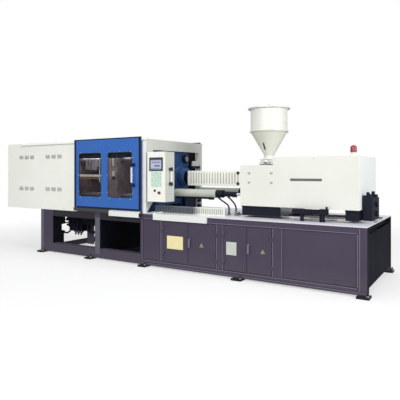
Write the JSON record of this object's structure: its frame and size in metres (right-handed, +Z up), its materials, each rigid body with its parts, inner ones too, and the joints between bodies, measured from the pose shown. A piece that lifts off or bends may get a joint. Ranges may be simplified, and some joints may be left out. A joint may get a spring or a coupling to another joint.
{
  "type": "injection moulding machine",
  "caption": "Horizontal plastic injection moulding machine with a toggle clamp behind a sliding gate, a hopper-fed injection unit and a cabinet base.",
  "frame": {"origin": "centre of the four outer anchor holes, on the floor", "axes": "+X along the machine towards the injection end, -Y towards the operator, +Z up"},
  "size_m": [5.092, 1.422, 1.824],
  "materials": {
    "dark_paint": "satin",
    "rubber_pad": "rough",
    "deck_paint": "satin",
    "cream_paint": "satin",
    "white_paint": "satin",
    "blue_paint": "semi-gloss",
    "platen_blue": "satin",
    "casting_paint": "satin",
    "bright_steel": "ground",
    "chrome_bar": "polished",
    "black_steel": "satin",
    "barrel_steel": "turned",
    "band_steel": "satin",
    "machine_grey": "satin",
    "handle_paint": "satin",
    "clear_sheet": "clear",
    "display_plastic": "gloss",
    "key_plastic": "matte",
    "red_plastic": "gloss",
    "black_plastic": "matte",
    "hose_rubber": "matte",
    "hopper_metal": "satin"
  },
  "bodies": {
    "frame": {"base_frame": "dark_paint", "anchor_feet": "rubber_pad", "deck_plate": "deck_paint", "front_panels": "dark_paint", "rear_panels": "dark_paint", "control_gear": "cream_paint", "oil_tank": "machine_grey", "pump_motor": "machine_grey", "oil_cooler": "black_steel", "clamp_cover": "cream_paint", "portal_cover": "cream_paint", "gate_rails": "white_paint", "fixed_platen": "platen_blue", "tie_bars": "chrome_bar", "tie_bar_nuts": "black_steel", "control_box": "cream_paint", "display": "display_plastic", "keypad": "key_plastic", "drip_tray": "white_paint", "slotted_guard": "white_paint", "product_lip": "white_paint", "carriage_rails": "bright_steel", "pull_in_cylinders": "cream_paint", "hydraulic_hoses": "hose_rubber", "switch_rail": "black_steel"},
    "tail": {"tail_platen": "casting_paint", "clamp_cylinder": "cream_paint"},
    "rear_link_upper": {"rear_link_upper": "casting_paint"},
    "rear_link_lower": {"rear_link_lower": "casting_paint"},
    "front_link_upper": {"front_link_upper": "casting_paint"},
    "front_link_lower": {"front_link_lower": "casting_paint"},
    "cross_link_upper": {"cross_link_upper": "bright_steel"},
    "cross_link_lower": {"cross_link_lower": "bright_steel"},
    "crosshead": {"crosshead": "casting_paint"},
    "moving_platen": {"moving_platen": "casting_paint", "safety_bar": "cream_paint"},
    "ejector": {"ejector_rod": "bright_steel"},
    "front_gate": {"front_gate": "blue_paint", "front_gate_windows": "clear_sheet", "front_gate_handle": "handle_paint"},
    "rear_gate": {"rear_gate": "blue_paint"},
    "door_1": {"door_1": "dark_paint"},
    "door_2": {"door_2": "dark_paint"},
    "door_3": {"door_3": "dark_paint"},
    "door_4": {"door_4": "dark_paint"},
    "latch_1": {"latch_1": "bright_steel"},
    "latch_2": {"latch_2": "bright_steel"},
    "carriage": {"carriage_base": "black_steel", "barrel": "barrel_steel", "heater_bands": "band_steel", "barrel_guard": "cream_paint", "injection_cover": "cream_paint", "hopper": "hopper_metal", "hopper_lid": "hopper_metal", "beacon": "red_plastic"},
    "hopper_slide": {"hopper_slide": "bright_steel"},
    "thrust": {"thrust_housing": "machine_grey"},
    "screw": {"screw": "bright_steel"},
    "emergency_stop": {"emergency_stop": "red_plastic"},
    "selector": {"selector_knob": "black_plastic"}
  },
  "joints": [
    {"name": "die_height", "type": "slide", "parent": "frame", "child": "tail", "axis": [1, 0, 0], "range_m": [0, 0.28]},
    {"name": "toggle", "type": "hinge", "parent": "tail", "child": "rear_link_upper", "pos_m": [-1.70585, 0, 1.315], "axis": [0, 1, 0], "range_deg": [0, 71.3]},
    {"name": "knee_upper", "type": "hinge", "parent": "rear_link_upper", "child": "front_link_upper", "pos_m": [-1.47043, 0, 1.29854], "axis": [0, 1, 0], "range_deg": [-142.6, 0]},
    {"name": "platen_drive", "type": "hinge", "parent": "front_link_upper", "child": "moving_platen", "pos_m": [-1.235, 0, 1.315], "axis": [0, 1, 0], "range_deg": [0, 71.3]},
    {"name": "toggle_lower", "type": "hinge", "parent": "tail", "child": "rear_link_lower", "pos_m": [-1.70585, 0, 0.745], "axis": [0, 1, 0], "range_deg": [-71.3, 0]},
    {"name": "knee_lower", "type": "hinge", "parent": "rear_link_lower", "child": "front_link_lower", "pos_m": [-1.47043, 0, 0.76146], "axis": [0, 1, 0], "range_deg": [0, 142.6]},
    {"name": "lever_upper", "type": "hinge", "parent": "rear_link_upper", "child": "cross_link_upper", "pos_m": [-1.5905, 0, 1.28192], "axis": [0, 1, 0], "range_deg": [-142.6, 0]},
    {"name": "crosshead_drive", "type": "hinge", "parent": "cross_link_upper", "child": "crosshead", "pos_m": [-1.47515, 0, 1.315], "axis": [0, 1, 0], "range_deg": [0, 71.3]},
    {"name": "lever_lower", "type": "hinge", "parent": "rear_link_lower", "child": "cross_link_lower", "pos_m": [-1.5905, 0, 0.77808], "axis": [0, 1, 0], "range_deg": [0, 142.6]},
    {"name": "ejector", "type": "slide", "parent": "moving_platen", "child": "ejector", "axis": [1, 0, 0], "range_m": [0, 0.1]},
    {"name": "front_gate_slide", "type": "slide", "parent": "frame", "child": "front_gate", "axis": [-1, 0, 0], "range_m": [0, 1.05]},
    {"name": "rear_gate_slide", "type": "slide", "parent": "frame", "child": "rear_gate", "axis": [-1, 0, 0], "range_m": [0, 1.05]},
    {"name": "door_1_hinge", "type": "hinge", "parent": "frame", "child": "door_1", "pos_m": [-0.04495, -0.618, 0.316], "axis": [0, 0, -1], "range_deg": [0, 90]},
    {"name": "door_2_hinge", "type": "hinge", "parent": "frame", "child": "door_2", "pos_m": [0.63701, -0.618, 0.316], "axis": [0, 0, 1], "range_deg": [0, 90]},
    {"name": "door_3_hinge", "type": "hinge", "parent": "frame", "child": "door_3", "pos_m": [0.74301, -0.618, 0.316], "axis": [0, 0, -1], "range_deg": [0, 90]},
    {"name": "door_4_hinge", "type": "hinge", "parent": "frame", "child": "door_4", "pos_m": [1.2677, -0.618, 0.316], "axis": [0, 0, 1], "range_deg": [0, 90]},
    {"name": "latch_1_turn", "type": "hinge", "parent": "door_2", "child": "latch_1", "pos_m": [0.31503, -0.602, 0.365], "axis": [0, 1, 0], "range_deg": [0, 90]},
    {"name": "latch_2_turn", "type": "hinge", "parent": "door_4", "child": "latch_2", "pos_m": [1.02435, -0.602, 0.365], "axis": [0, 1, 0], "range_deg": [0, 90]},
    {"name": "carriage_slide", "type": "slide", "parent": "frame", "child": "carriage", "axis": [1, 0, 0], "range_m": [-0.045, 0.2]},
    {"name": "hopper_shutoff", "type": "slide", "parent": "carriage", "child": "hopper_slide", "axis": [0, -1, 0], "range_m": [0, 0.095]},
    {"name": "injection", "type": "slide", "parent": "carriage", "child": "thrust", "axis": [1, 0, 0], "range_m": [0, 0.16]},
    {"name": "screw_spin", "type": "hinge", "parent": "thrust", "child": "screw", "pos_m": [1, 0, 1.03], "axis": [1, 0, 0], "continuous": true},
    {"name": "emergency_stop_press", "type": "slide", "parent": "frame", "child": "emergency_stop", "axis": [0, 1, 0], "range_m": [0, 0.005], "stiffness_N_per_m": 800},
    {"name": "selector_turn", "type": "hinge", "parent": "frame", "child": "selector", "pos_m": [-0.147, -0.62, 0.887], "axis": [0, 1, 0], "range_deg": [-45, 45]}
  ],
  "couplings": [
    {"joint": "knee_upper", "follows": "toggle", "ratio": -2},
    {"joint": "platen_drive", "follows": "toggle", "ratio": 1},
    {"joint": "toggle_lower", "follows": "toggle", "ratio": -1},
    {"joint": "knee_lower", "follows": "toggle", "ratio": 2},
    {"joint": "lever_upper", "follows": "toggle", "ratio": -2},
    {"joint": "crosshead_drive", "follows": "toggle", "ratio": 1},
    {"joint": "lever_lower", "follows": "toggle", "ratio": 2}
  ]
}
